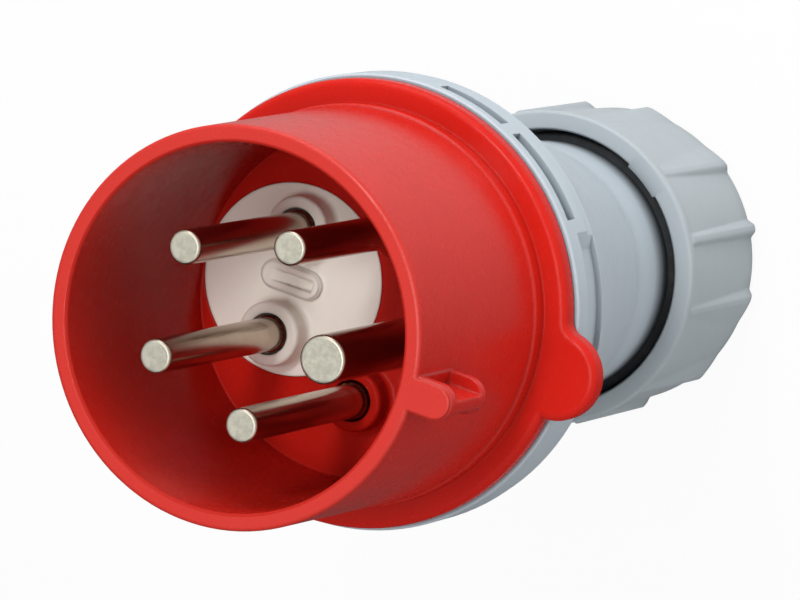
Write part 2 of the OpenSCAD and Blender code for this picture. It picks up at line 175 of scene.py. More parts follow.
def level(tree, where):
    """A position or direction without its height."""
    return vector_maths(tree, "MULTIPLY", where, (1.0, 1.0, 0.0))


def from_axis(tree, where):
    """How far a position is from Z."""
    return vector_maths(tree, "LENGTH", level(tree, where), out=1)


def along_z(tree, where):
    """The Z of a position or direction."""
    return add(tree, "ShaderNodeSeparateXYZ", {0: where}).outputs["Z"]


def up(tree, height):
    """A vector that points up by height."""
    return add(tree, "ShaderNodeCombineXYZ", {"Z": height}).outputs[0]


def remap(tree, value, low, high, to_low, to_high):
    """Map Range node, clamped."""
    feeds = {"Value": value, "From Min": low, "From Max": high, "To Min": to_low, "To Max": to_high}
    return add(tree, "ShaderNodeMapRange", feeds).outputs["Result"]


def noise(tree, where, scale, detail=2.0, rough=0.5, stretch=None):
    """Noise on a position, with features about 1 / scale wide. stretch scales each axis first."""
    if stretch:
        where = vector_maths(tree, "MULTIPLY", where, stretch)
    feeds = {"Vector": where, "Scale": scale, "Detail": detail, "Roughness": rough}
    return add(tree, "ShaderNodeTexNoise", feeds).outputs["Fac"]


def blend(tree, share, first, second):
    """Mix node for numbers."""
    return add(tree, "ShaderNodeMix", {0: share, 2: first, 3: second}, data_type="FLOAT").outputs[0]


def blend_colour(tree, share, first, second):
    """Mix node for colours."""
    return add(tree, "ShaderNodeMix", {0: share, 6: first, 7: second}, data_type="RGBA").outputs[2]


def grey_of(tree, value):
    """One number as a grey."""
    return add(tree, "ShaderNodeCombineXYZ", {0: value, 1: value, 2: value}).outputs[0]


def darken(tree, colour, factor):
    """A colour output times one number."""
    return vector_maths(tree, "MULTIPLY", colour, grey_of(tree, factor))


def shade(colour, factor=1.0):
    """A colour made lighter or darker, and opaque."""
    return tuple(min(1.0, c * factor) for c in colour[:3]) + (1.0,)


def bump(tree, height, distance, normal=None, strength=1.0):
    """Bump node: a height of 0 to 1 that stands distance high."""
    feeds = {"Height": height, "Distance": distance, "Strength": strength}
    if normal is not None:
        feeds["Normal"] = normal
    return add(tree, "ShaderNodeBump", feeds).outputs["Normal"]


def new_material(name):
    """An empty node material. Returns it, its tree, its Principled shader and the Object coordinates."""
    material = bpy.data.materials.new(name)
    material.use_nodes = True
    tree = material.node_tree
    tree.nodes.clear()
    shader = add(tree, "ShaderNodeBsdfPrincipled")
    add(tree, "ShaderNodeOutputMaterial", {"Surface": shader.outputs[0]})
    where = add(tree, "ShaderNodeTexCoord").outputs["Object"]
    return material, tree, shader, where


def straight_rays(tree, path):
    """1 for what the camera sees straight or through glass, otherwise 0. path is Light Path's outputs."""
    return maths(tree, "MAXIMUM", path["Is Camera Ray"], path["Is Transmission Ray"])


# ---------------------------------------------------------------- finishes


def moulded(name, colour, rough, mottle=0.05, grain=1.0, edge=0.0003, edge_lift=0.12, gloss=0.45,
            corner_shade=0.55, reach=0.005, shade_band=None, hollow=None):
    """Injection moulded plastic: cloudy colour, eroded grain, faint sink waves, softly rounded, paler edges.

    edge is the radius of the rounded edges, and edge_lift how much paler they are, as wear and as a painted
    highlight. crevice is the brightness that painted shade leaves in corners, and reach how far from a wall
    it starts. settled is the height where a band of painted shade is darkest, the height where it ends, and
    the brightness that it leaves. hollow is the radius of a bore round Z that the tool left duller, whose
    colour is a fifth darker as painted shade, its floor's height and its rim's height, where plugging in rubs
    the red paler, and the paler rim also paints its sheen."""
    material, tree, shader, where = new_material(name)
    cloud = noise(tree, where, 70, 4.0, 0.6)
    fleck = noise(tree, where, 1500, 3.0, 0.7)
    tint = plus(tree, times(tree, cloud, 0.75), times(tree, fleck, 0.25))
    tint = remap(tree, tint, 0.32, 0.68, 0.0, 1.0)
    body = blend_colour(tree, tint, shade(colour, 1 - mottle), shade(colour, 1 + mottle))
    # the rounded normal strays from the flat one only along an edge
    soft = add(tree, "ShaderNodeBevel", {"Radius": edge}, samples=6).outputs["Normal"]
    flat = add(tree, "ShaderNodeNewGeometry").outputs["Normal"]
    bend = minus(tree, 1.0, vector_maths(tree, "DOT_PRODUCT", soft, flat, out=1))
    # paler edges: wear, and a painted highlight along every rounded edge
    wear_and_highlight = remap(tree, bend, 0.01, 0.22, 0.0, edge_lift)
    wear_and_highlight = times(tree, wear_and_highlight, remap(tree, cloud, 0.3, 0.7, 0.55, 1.0))
    body = blend_colour(tree, wear_and_highlight, body, shade(colour, 1.25))
    # painted shade: corners and slots are darker, where light doesn't reach
    open_sky = add(tree, "ShaderNodeAmbientOcclusion", {"Distance": reach}, samples=6).outputs["AO"]
    body = darken(tree, body, remap(tree, open_sky, 0.15, 0.85, corner_shade, 1.0))
    shader.inputs["Specular IOR Level"].default_value = gloss
    height = along_z(tree, where)
    if shade_band:
        # painted shade: darkest at the lower height and fading out by the higher one, with a ragged edge
        low, high, left = shade_band
        ragged = plus(tree, height, times(tree, cloud, 0.0006))
        body = darken(tree, body, remap(tree, ragged, low, high, left, 1.0))
    if hollow:
        bore_r, floor_z, rim_z = hollow
        inside = maths(tree, "LESS_THAN", from_axis(tree, where), bore_r)
        inside = times(tree, inside, remap(tree, height, floor_z, floor_z + 0.003, 0.3, 1.0))
        # plugging in rubs the rim paler, and the paler band also paints the rim's sheen
        paled = remap(tree, height, rim_z - 0.0009, rim_z - 0.0002, 0.0, 1.0)
        paled = times(tree, paled, remap(tree, cloud, 0.25, 0.75, 0.7, 1.0))
        body = blend_colour(tree, paled, body, (colour[0], colour[1] + 0.014, colour[2] + 0.011, 1.0))
        # painted shade: the bore's colour is a fifth darker, less so near its floor
        body = darken(tree, body, blend(tree, inside, 1.0, 0.8))
        # plugging in rubs the flange at the sleeve's foot less, so it is duller
        polish = remap(tree, height, floor_z + 0.002, floor_z + 0.005, 0.4 * gloss, 1.1 * gloss)
        tree.links.new(blend(tree, inside, polish, gloss * 0.12), shader.inputs["Specular IOR Level"])
    tree.links.new(body, shader.inputs["Base Color"])
    satin = noise(tree, where, 420, 5.0, 0.65)
    tree.links.new(remap(tree, satin, 0.3, 0.7, rough - 0.045, rough + 0.045), shader.inputs["Roughness"])
    normal = bump(tree, noise(tree, where, 85, 2.0), 0.00006, soft, 0.5)
    normal = bump(tree, noise(tree, where, 5200, 3.0, 0.55), 0.0000018 * grain, normal)
    tree.links.new(normal, shader.inputs["Normal"])
    shader.inputs["IOR"].default_value = 1.5
    return material


def plated(name, colour, rough, centre, top):
    """Nickel plated brass turned on a lathe: lines drawn along the pin, rings and a paler face on its tip.

    centre is the pin's x and y, and top the height of its tip."""
    material, tree, shader, where = new_material(name)
    place = vector_maths(tree, "SUBTRACT", where, (centre[0], centre[1], 0.0))
    drawn = noise(tree, place, 900, 4.0, 0.6, stretch=(1.0, 1.0, 0.05))
    haze = noise(tree, place, 260, 4.0, 0.65)
    facing = along_z(tree, add(tree, "ShaderNodeNewGeometry").outputs["Normal"])
    face = remap(tree, facing, 0.80, 0.97, 0.0, 1.0)
    face = times(tree, face, maths(tree, "GREATER_THAN", along_z(tree, place), top - 0.001))
    cloudy = remap(tree, haze, 0.35, 0.68, 0.0, 1.0)
    side = blend_colour(tree, cloudy, shade(colour, 0.9), shade(colour, 1.04))
    speckle = remap(tree, noise(tree, place, 1300, 3.0), 0.35, 0.65, 0.0, 1.0)
    tip = blend_colour(tree, speckle, (0.46, 0.44, 0.365, 1), (0.57, 0.55, 0.46, 1))
    tree.links.new(blend_colour(tree, face, side, tip), shader.inputs["Base Color"])
    brushed = remap(tree, drawn, 0.3, 0.7, rough - 0.02, rough + 0.03)
    satin = remap(tree, haze, 0.3, 0.7, 0.38, 0.5)
    tree.links.new(blend(tree, face, brushed, satin), shader.inputs["Roughness"])
    feeds = {"Vector": place, "Scale": 900.0, "Distortion": 1.2, "Detail": 2.0, "Detail Scale": 2.0}
    rings = add(tree, "ShaderNodeTexWave", feeds, wave_type="RINGS", rings_direction="Z").outputs["Fac"]
    normal = bump(tree, drawn, 0.0000003)
    normal = bump(tree, times(tree, rings, face), 0.0000030, normal)
    tree.links.new(normal, shader.inputs["Normal"])
    shader.inputs["Metallic"].default_value = 1.0
    return material


def steel(name, colour, rough):
    """Bright zinc or spring steel with fine wire lines and dull spots."""
    material, tree, shader, where = new_material(name)
    spots = remap(tree, noise(tree, where, 700, 5.0, 0.7), 0.4, 0.7, 0.0, 1.0)
    tree.links.new(blend_colour(tree, spots, shade(colour, 1.05), shade(colour, 0.72)),
                   shader.inputs["Base Color"])
    lines = noise(tree, where, 2600, 3.0, 0.6, stretch=(1.0, 0.25, 1.0))
    tree.links.new(remap(tree, lines, 0.3, 0.7, rough - 0.07, rough + 0.1), shader.inputs["Roughness"])
    tree.links.new(bump(tree, lines, 0.000004), shader.inputs["Normal"])
    shader.inputs["Metallic"].default_value = 1.0
    return material


def rubber(name, colour, rough, paled=None):
    """Moulded rubber: dull, dusty in the hollows, with a pebbled skin.

    rubbed is the radius round Z inside which the rubber is greyest, painted light where the shade in
    the nut's mouth thins towards the neck, and the radius where that grey ends."""
    material, tree, shader, where = new_material(name)
    dust = remap(tree, noise(tree, where, 330, 5.0, 0.7), 0.48, 0.75, 0.0, 1.0)
    dusty = shade([c + 0.03 for c in colour[:3]], 1.2)
    body = blend_colour(tree, dust, shade(colour), dusty)
    if paled:
        # painted light: the seal greys towards the neck, softening the shade in the nut's mouth
        greyed = remap(tree, from_axis(tree, where), paled[0], paled[1], 0.35, 0.0)
        body = blend_colour(tree, greyed, body, (0.06, 0.075, 0.085, 1.0))
    tree.links.new(body, shader.inputs["Base Color"])
    skin = noise(tree, where, 4200, 3.0, 0.55)
    tree.links.new(remap(tree, skin, 0.3, 0.7, rough - 0.06, rough + 0.08), shader.inputs["Roughness"])
    tree.links.new(bump(tree, skin, 0.000012), shader.inputs["Normal"])
    shader.inputs["Specular IOR Level"].default_value = 0.3
    return material


def paint(material, *nodes):
    """Gives the slots of CAD nodes a finish."""
    for node in nodes:
        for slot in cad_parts[node].material_slots:
            slot.material = material


# ---------------------------------------------------------------- geometry node helpers


def link_new(name, data):
    """A new object in the scene."""
    thing = bpy.data.objects.new(name, data)
    bpy.context.scene.collection.objects.link(thing)
    return thing


def node_tree(name, inputs):
    """A new Geometry Nodes tree with named inputs: (name, socket type, default).

    Returns it and the outputs of its input node."""
    tree = bpy.data.node_groups.new(name, "GeometryNodeTree")
    tree.interface.new_socket("Geometry", in_out="INPUT", socket_type="NodeSocketGeometry")
    tree.interface.new_socket("Geometry", in_out="OUTPUT", socket_type="NodeSocketGeometry")
    for label, kind, value in inputs:
        socket = tree.interface.new_socket(label, in_out="INPUT", socket_type="NodeSocket" + kind)
        if value is not None:
            socket.default_value = value
    return tree, tree.nodes.new("NodeGroupInput").outputs


def end_tree(tree, geometry, material):
    """Realizes the instances, sets the finish and feeds the tree's output. Returns the tree."""
    real = add(tree, "GeometryNodeRealizeInstances", {"Geometry": geometry}).outputs[0]
    done = add(tree, "GeometryNodeSetMaterial", {"Geometry": real, "Material": material}).outputs[0]
    tree.links.new(done, tree.nodes.new("NodeGroupOutput").inputs[0])
    return tree


def grown(name, tree, values, outline=()):
    """Runs a tree on a closed outline of points and returns its result as a plain mesh object."""
    mesh = bpy.data.meshes.new(name)
    edges = [(i, (i + 1) % len(outline)) for i in range(len(outline))]
    mesh.from_pydata([tuple(p) for p in outline], edges, [])
    piece = link_new(name, mesh)
    modifier = piece.modifiers.new("grow", "NODES")
    modifier.node_group = tree
    for item in tree.interface.items_tree:
        if item.item_type == "SOCKET" and item.in_out == "INPUT" and item.name in values:
            modifier[item.identifier] = values[item.name]
    bpy.context.view_layer.update()
    made = piece.evaluated_get(bpy.context.evaluated_depsgraph_get())
    made = bpy.data.meshes.new_from_object(made)
    piece.modifiers.remove(modifier)
    piece.data = made
    made.name = name
    bpy.data.meshes.remove(mesh)
    return settle(piece)


def settle(piece, angle=35.0):
    """Merges doubles, turns the faces outwards and shades smooth between edges sharper than angle."""
    shape = bmesh.new()
    shape.from_mesh(piece.data)
    bmesh.ops.remove_doubles(shape, verts=shape.verts, dist=1e-7)
    bmesh.ops.recalc_face_normals(shape, faces=shape.faces)
    shape.to_mesh(piece.data)
    shape.free()
    piece.data.shade_smooth()
    piece.data.set_sharp_from_angle(angle=math.radians(angle))
    return piece


def circle(tree, radius, steps):
    feeds = {"Resolution": steps, "Radius": radius}
    return add(tree, "GeometryNodeCurvePrimitiveCircle", feeds).outputs[0]


def upright(tree, curve):
    """A curve whose section stays upright along it."""
    return add(tree, "GeometryNodeSetCurveNormal", {"Curve": curve}, mode="Z_UP").outputs[0]


def helix(tree, given, radius, height):
    """A curve that winds round Z from 0 up to height, in even turns."""
    feeds = {"Resolution": given["Steps"], "Rotations": given["Turns"], "Start Radius": radius,
             "End Radius": radius, "Height": height}
    return upright(tree, add(tree, "GeometryNodeCurveSpiral", feeds).outputs[0])


def section_of(tree, outline):
    return add(tree, "GeometryNodeMeshToCurve", {"Mesh": outline}).outputs[0]


def sweep(tree, path, section, capped=False):
    feeds = {"Curve": path, "Profile Curve": section, "Fill Caps": capped}
    return add(tree, "GeometryNodeCurveToMesh", feeds).outputs[0]


def shift(tree, geometry, offset):
    return add(tree, "GeometryNodeSetPosition", {"Geometry": geometry, "Offset": offset}).outputs[0]


def lathe_section(points):
    """(radius, height) points as a section whose x runs outwards from a circle of radius 1."""
    return [(r - 1.0, -z, 0.0) for r, z in points]


def quarter(centre, radius, start, end, steps=6):
    """Points of an arc round a (radius, height) centre, angles in degrees."""
    turns = [math.radians(start + (end - start) * i / steps) for i in range(steps + 1)]
    return [(centre[0] + radius * math.cos(a), centre[1] + radius * math.sin(a)) for a in turns]


def nut_tree():
    """Gland nut: a revolved section with grip ribs raised by rule, in groups that each point one way, and a
    short tab inside its mouth."""
    tree, given = node_tree("Ribbed gland nut", [
        ("Steps", "Int", NUT_STEPS), ("Groups", "Int", 4), ("Ribs in a group", "Int", 3),
        ("First group", "Float", FIRST_GROUP), ("Rib tip", "Float", RIB_TIP_R),
        ("Side rib tip", "Float", RIB_TIP_R - SIDE_RIB_DROP), ("Body rear", "Float", 0.0233),
        ("Body front", "Float", RIB_TIP_R - BODY_DROP), ("Rib width", "Float", 0.0036),
        ("Ramp", "Float", RAMP), ("Rib rear", "Float", RIB_REAR_Z), ("Rib front", "Float", 0.0284),
        ("Mouth", "Float", MOUTH_R), ("Tab height", "Float", TAB_Z), ("Tab depth", "Float", TAB_DEPTH),
        ("Tab start", "Float", TAB_START), ("Tab end", "Float", TAB_END), ("Finish", "Material", None)])
    path = upright(tree, circle(tree, 1.0, given["Steps"]))
    ring = sweep(tree, path, section_of(tree, given["Geometry"]))
    at = add(tree, "GeometryNodeInputPosition").outputs[0]
    x, y, z = add(tree, "ShaderNodeSeparateXYZ", {0: at}).outputs
    radius = from_axis(tree, at)
    angle = maths(tree, "ARCTAN2", y, x)
    # angle from the middle of the nearest group, and the number of steps from there to the nearest rib
    sector = maths(tree, "DIVIDE", math.pi, given["Groups"])
    turn = minus(tree, angle, given["First group"])
    turn = maths(tree, "ABSOLUTE", maths(tree, "WRAP", turn, sector, times(tree, sector, -1.0)))
    pace = times(tree, maths(tree, "DIVIDE", sector, given["Ribs in a group"]), 1.793)
    last = times(tree, minus(tree, given["Ribs in a group"], 1.0), 0.5)
    odd = maths(tree, "FRACT", last)
    step = maths(tree, "ROUND", minus(tree, maths(tree, "DIVIDE", turn, pace), odd))
    step = plus(tree, step, odd)
    step = maths(tree, "MAXIMUM", maths(tree, "MINIMUM", step, last), odd)
    beyond = times(tree, minus(tree, turn, times(tree, step, pace)), given["Rib tip"])
    # the middle rib of a group is steep on both flanks, and the others run out in a ramp on the outer one
    foot, crown = times(tree, given["Rib width"], 0.5), times(tree, given["Rib width"], 0.1)
    bead = remap(tree, maths(tree, "ABSOLUTE", beyond), foot, crown, 0.0, 1.0)
    bead = times(tree, bead, bead, minus(tree, 3.0, times(tree, bead, 2.0)))
    ramp = remap(tree, beyond, given["Ramp"], 0.0003, 0.0, 1.0)
    ramp = times(tree, ramp, maths(tree, "GREATER_THAN", beyond, 0.0))
    side = maths(tree, "GREATER_THAN", step, 0.1)
    swell = maths(tree, "MAXIMUM", bead, times(tree, ramp, side))
    drop = minus(tree, given["Rib tip"], given["Side rib tip"])
    tip = minus(tree, given["Rib tip"], times(tree, side, drop))
    crest = plus(tree, given["Body rear"], times(tree, minus(tree, tip, given["Body rear"]), swell))
    # the crest keeps its radius while the body widens, so a rib sinks into the body towards the front
    along = remap(tree, z, REAR_ROUND, given["Rib front"], 0.0, 1.0)
    span = minus(tree, given["Body front"], given["Body rear"])
    body = plus(tree, given["Body rear"], times(tree, along, span))
    gain = minus(tree, maths(tree, "SMOOTH_MAX", crest, body, 0.0002), body)
    gain = maths(tree, "MAXIMUM", gain, 0.0)
    rise_from, rise_to = minus(tree, given["Rib rear"], 0.0004), plus(tree, given["Rib rear"], 0.0008)
    start = remap(tree, z, rise_from, rise_to, 0.0, 1.0)
    outside = maths(tree, "GREATER_THAN", radius, minus(tree, given["Body rear"], 0.0016))
    below = maths(tree, "LESS_THAN", z, minus(tree, given["Rib front"], 0.00005))
    gain = times(tree, gain, start, outside, below)
    # tab: the mouth's wall steps inwards over a short stretch
    inside = times(tree, maths(tree, "COMPARE", radius, given["Mouth"], 0.0001),
                   maths(tree, "GREATER_THAN", z, given["Tab height"]),
                   maths(tree, "GREATER_THAN", angle, given["Tab start"]),
                   maths(tree, "LESS_THAN", angle, given["Tab end"]))
    move = minus(tree, gain, times(tree, inside, given["Tab depth"]))
    outward = vector_maths(tree, "NORMALIZE", level(tree, at))
    outward = add(tree, "ShaderNodeVectorMath", {0: outward, "Scale": move}, operation="SCALE").outputs[0]
    return end_tree(tree, shift(tree, ring, outward), given["Finish"])


def thread_tree():
    """Gland thread: a low rounded ridge that winds round the housing's tail."""
    tree, given = node_tree("Gland thread", [
        ("Turns", "Float", 5.0), ("Radius", "Float", 0.0191), ("Start", "Float", 0.0095),
        ("Length", "Float", THREAD_LENGTH), ("Steps", "Int", 96), ("Finish", "Material", None)])
    path = shift(tree, helix(tree, given, given["Radius"], given["Length"]), up(tree, given["Start"]))
    ridge = sweep(tree, path, section_of(tree, given["Geometry"]), capped=True)
    return end_tree(tree, ridge, given["Finish"])


def spring_tree():
    """Compression spring: a wound wire whose end turns lie flat."""
    tree, given = node_tree("Compression spring", [
        ("Turns", "Float", 5.0), ("Coil radius", "Float", 0.003), ("Wire radius", "Float", SPRING_WIRE_R),
        ("Rise", "Float", 0.0062), ("Place", "Vector", None), ("Steps", "Int", 40),
        ("Finish", "Material", None)])
    path = helix(tree, given, given["Coil radius"], given["Rise"])
    # the pitch eases in between the end turns
    at = add(tree, "GeometryNodeInputPosition").outputs[0]
    share = maths(tree, "DIVIDE", along_z(tree, at), given["Rise"])
    wave = maths(tree, "COSINE", times(tree, share, math.pi))
    eased = times(tree, minus(tree, 1.0, wave), 0.5)
    lift = times(tree, minus(tree, eased, share), given["Rise"])
    path = shift(tree, path, vector_maths(tree, "ADD", given["Place"], up(tree, lift)))
    wound = sweep(tree, path, circle(tree, given["Wire radius"], 16), capped=True)
    return end_tree(tree, wound, given["Finish"])


def lips_tree():
    """Sealing lips: rings of one size, repeated along the axis."""
    tree, given = node_tree("Sealing lips", [
        ("Count", "Int", 3), ("Radius", "Float", GROMMET_BORE_R), ("Thickness", "Float", LIP_R),
        ("First", "Float", 0.0105), ("Spacing", "Float", 0.0028), ("Finish", "Material", None)])
    lip = sweep(tree, circle(tree, given["Radius"], 128), circle(tree, given["Thickness"], 16))
    feeds = {"Count": given["Count"], "Start Location": up(tree, given["First"]),
             "Offset": up(tree, given["Spacing"])}
    row = add(tree, "GeometryNodeMeshLine", feeds, mode="OFFSET").outputs[0]
    lips = add(tree, "GeometryNodeInstanceOnPoints", {"Points": row, "Instance": lip}).outputs[0]
    return end_tree(tree, lips, given["Finish"])


# ---------------------------------------------------------------- what a user may change


def colour_property(name, default, description):
    return bpy.props.FloatVectorProperty(
        name=name, default=default, size=3, subtype="COLOR", min=0.0, max=1.0, description=description)


class PlugFinishes(bpy.types.PropertyGroup):
    """Colours and gloss of the plug's materials."""

    red: colour_property("Red shell", (0.56, 0.013, 0.007), "Moulded red of the front sleeve")
    grey: colour_property("Grey housing", (0.445, 0.505, 0.555), "Moulded grey of the housing")
    nut_grey: colour_property("Gland nut", (0.415, 0.463, 0.49), "Moulded grey of the gland nut")
    white: colour_property("Insert", (0.89, 0.862, 0.775), "Cream white of the phase insert")
    plating: colour_property("Contact plating", (0.465, 0.375, 0.295), "Nickel on the contacts")
    rubber: colour_property("Rubber", (0.012, 0.012, 0.014), "Black seals")
    shell_rough: bpy.props.FloatProperty(
        name="Shell roughness", default=0.38, min=0.1, max=0.9,
        description="Sheen of the moulded shells, where 0 is a mirror")
    pin_rough: bpy.props.FloatProperty(
        name="Contact roughness", default=0.2, min=0.05, max=0.6,
        description="Polish of the contacts, where 0 is a mirror")


class PlugSizes(bpy.types.PropertyGroup):
    """Sizes of the pieces that the scene grows on the frame."""

    rib_groups: bpy.props.IntProperty(
        name="Rib groups", default=4, min=2, max=8, description="Groups of grip ribs round the gland nut")
    ribs: bpy.props.IntProperty(
        name="Ribs in a group", default=3, min=1, max=5, description="Grip ribs in each group")
    rib_height: bpy.props.FloatProperty(
        name="Rib height", default=0.0014, min=0.0005, max=0.003, unit="LENGTH",
        description="Height of a grip rib at the nut's rear")
    rib_width: bpy.props.FloatProperty(
        name="Rib width", default=0.0036, min=0.001, max=0.006, unit="LENGTH",
        description="Width of a grip rib with its fillets")
    spring_turns: bpy.props.FloatProperty(
        name="Spring turns", default=5.0, min=3.0, max=7.0,
        description="Turns of the spring behind the insert")
    thread_pitch: bpy.props.FloatProperty(
        name="Thread pitch", default=0.003, min=0.001, max=0.006, unit="LENGTH",
        description="Travel of the gland nut in one turn")
    lips: bpy.props.IntProperty(
        name="Sealing lips", default=3, min=1, max=5, description="Number of lips inside the cable grommet")


class PlugStudio(bpy.types.PropertyGroup):
    """Camera and light."""

    lens: bpy.props.FloatProperty(
        name="Focal length", default=292.5, min=50.0, max=600.0, subtype="DISTANCE_CAMERA",
        description="Focal length on a 36 mm wide sensor")
    roll: bpy.props.FloatProperty(
        name="Roll", default=math.radians(-101.11), subtype="ANGLE",
        description="Turn of the camera about its own view axis")
    place: bpy.props.FloatVectorProperty(
        name="Camera place", default=(0.3480, 0.1909, 0.9554), size=3, subtype="TRANSLATION",
        unit="LENGTH", description="Where the camera stands")
    aim: bpy.props.FloatVectorProperty(
        name="Camera aim", default=(0.0190, 0.0098, 0.1322), size=3, subtype="TRANSLATION",
        unit="LENGTH", description="The point in the middle of the view")
    front: bpy.props.FloatProperty(
        name="Front light", default=5.3, min=0.0, subtype="POWER",
        description="Power of the soft light that shines into the sleeve")
    fill: bpy.props.FloatProperty(
        name="Fill light", default=4.5, min=0.0, subtype="POWER",
        description="Power of the wide light straight ahead of the sleeve")
    top: bpy.props.FloatProperty(
        name="Top light", default=6.0, min=0.0, subtype="POWER",
        description="Power of the large soft light above the view")
    sky: bpy.props.FloatProperty(
        name="Sky", default=1.2, min=0.0, max=2.0, description="Strength of the light from all round")


# ---------------------------------------------------------------- operators


class PLUG_OT_front_sleeve(bpy.types.Operator):
    """Finish the red front sleeve"""

    bl_idname = "plug.front_sleeve"
    bl_label = "Front sleeve"

    def execute(self, context):
        look = context.scene.plug_finishes
        # painted shade in the corners and a fifth darker in the bore; the rim is paler from wear and painted
        # sheen
        red = moulded("red_polyamide", look.red, look.shell_rough - 0.12, mottle=0.05, edge=0.0005,
                      edge_lift=0.05, gloss=0.35, corner_shade=0.7,
                      hollow=(SLEEVE_BORE_R, FLOOR_Z - 1 * MM, RIM_Z))
        paint(red, "front_sleeve")
        return {"FINISHED"}


class PLUG_OT_housing(bpy.types.Operator):
    """Finish the grey housing and wind the gland thread on its tail"""

    bl_idname = "plug.housing"
    bl_label = "Housing and thread"

    def execute(self, context):
        look, size = context.scene.plug_finishes, context.scene.plug_sizes
        # painted shade: darker corners reaching 11 mm from a wall, and a band darkest at the nut's mouth that
        # fades out 3.6 mm above it
        grey = moulded("grey_polyamide", look.grey, look.shell_rough + 0.04, mottle=0.035, edge_lift=0.12,
                       corner_shade=0.4, reach=0.011, shade_band=(NUT_TOP - 0.2 * MM, NUT_TOP + 3.6 * MM, 0.3))
        paint(grey, "housing")
        thread = grown("gland_thread", thread_tree(), {
            "Turns": THREAD_LENGTH / size.thread_pitch, "Start": TAIL_Z + THREAD_START,
            "Length": THREAD_LENGTH, "Finish": grey}, [(x, y, 0.0) for x, y in THREAD_SECTION])
        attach(thread, "plug")
        return {"FINISHED"}


class PLUG_OT_gland_nut(bpy.types.Operator):
    """Grow the ribbed gland nut"""

    bl_idname = "plug.gland_nut"
    bl_label = "Gland nut"

    def execute(self, context):
        look, size = context.scene.plug_finishes, context.scene.plug_sizes
        grey = moulded("nut_polyamide", look.nut_grey, look.shell_rough + 0.05, mottle=0.035, edge_lift=0.15)
        rear, body, ring = RIB_TIP_R - size.rib_height, RIB_TIP_R - BODY_DROP, RIB_TIP_R - RING_DROP
        front = NUT_TOP - RING_HEIGHT
        # from the cable hole round the rear, up the tapered outside, over the front ring and down the bore
        outline = [(CABLE_HOLE_R, BEVEL), (CABLE_HOLE_R + BEVEL, 0.0), (rear - REAR_ROUND, 0.0)]
        outline += quarter((rear - REAR_ROUND, REAR_ROUND), REAR_ROUND, -78, 0, 7)
        shares = [i / TAPER_STEPS for i in range(1, TAPER_STEPS)]
        outline += [(rear + (body - rear) * s, REAR_ROUND + (front - REAR_ROUND) * s) for s in shares]
        outline += [(body, front - 0.2 * MM), (ring, front), (ring, NUT_TOP - RING_ROUND)]
        outline += quarter((ring - RING_ROUND, NUT_TOP - RING_ROUND), RING_ROUND, 15, 90, 4)
        outline += [(MOUTH_R + 0.25 * MM, NUT_TOP), (MOUTH_R, NUT_TOP - 0.25 * MM)]
        outline += [(MOUTH_R, TAB_Z + 0.02 * MM), (MOUTH_R, TAB_Z - 0.02 * MM), (MOUTH_R, MOUTH_FLOOR_Z)]
        outline += [(NUT_BORE_R + BEVEL, MOUTH_FLOOR_Z), (NUT_BORE_R, MOUTH_FLOOR_Z - BEVEL)]
        outline += [(NUT_BORE_R, REAR_WALL), (CABLE_HOLE_R, REAR_WALL)]
        nut = grown("ribbed_gland_nut", nut_tree(), {
            "Groups": size.rib_groups, "Ribs in a group": size.ribs, "Body rear": rear,
            "Rib width": size.rib_width, "Rib front": front, "Finish": grey}, lathe_section(outline))
        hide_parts("gland_nut")
        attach(nut, "nut")
        return {"FINISHED"}


class PLUG_OT_contacts(bpy.types.Operator):
    """Plate the five contacts"""

    bl_idname = "plug.contacts"
    bl_label = "Contacts"

    def execute(self, context):
        look = context.scene.plug_finishes
        for node in ("earth_pin", "neutral_pin", "line1_pin", "line2_pin", "line3_pin"):
            low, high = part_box(node)
            centre = (low + high) / 2
            paint(plated(node + "_nickel", look.plating, look.pin_rough, centre, high.z), node)
        return {"FINISHED"}


class PLUG_OT_phase_insert(bpy.types.Operator):
    """Finish the turning insert and its plate"""

    bl_idname = "plug.phase_insert"
    bl_label = "Phase insert"

    def execute(self, context):
        look = context.scene.plug_finishes
        white = moulded("cream_polyamide", look.white, 0.42, mottle=0.03, edge=0.0006, edge_lift=0.1,
                        grain=0.7, corner_shade=1.0)
        paint(white, "phase_insert", "insert_plate")
        return {"FINISHED"}


class PLUG_OT_fasteners(bpy.types.Operator):
    """Finish the screws, the clip and the washer, and wind the insert's spring"""

    bl_idname = "plug.fasteners"
    bl_label = "Screws and spring"

    def execute(self, context):
        size = context.scene.plug_sizes
        zinc = steel("zinc_plated_steel", (0.56, 0.57, 0.58), 0.3)
        spring = steel("spring_steel_wire", (0.42, 0.42, 0.43), 0.27)
        paint(zinc, "carrier_screws", "insert_plate_screws", "earth_terminal_screw", "neutral_terminal_screw",
              "line1_terminal_screw", "line2_terminal_screw", "line3_terminal_screw")
        paint(spring, "insert_clip", "insert_washer", "insert_spring")
        low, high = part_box("insert_spring")
        wound = grown("wound_insert_spring", spring_tree(), {
            "Turns": size.spring_turns, "Coil radius": (high.y - low.y) / 2 - SPRING_WIRE_R,
            "Rise": high.z - low.z - 2 * SPRING_WIRE_R, "Place": (PIVOT_X, 0.0, low.z + SPRING_WIRE_R),
            "Finish": spring})
        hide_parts("insert_spring")
        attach(wound, "plug")
        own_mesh(wound)
        return {"FINISHED"}


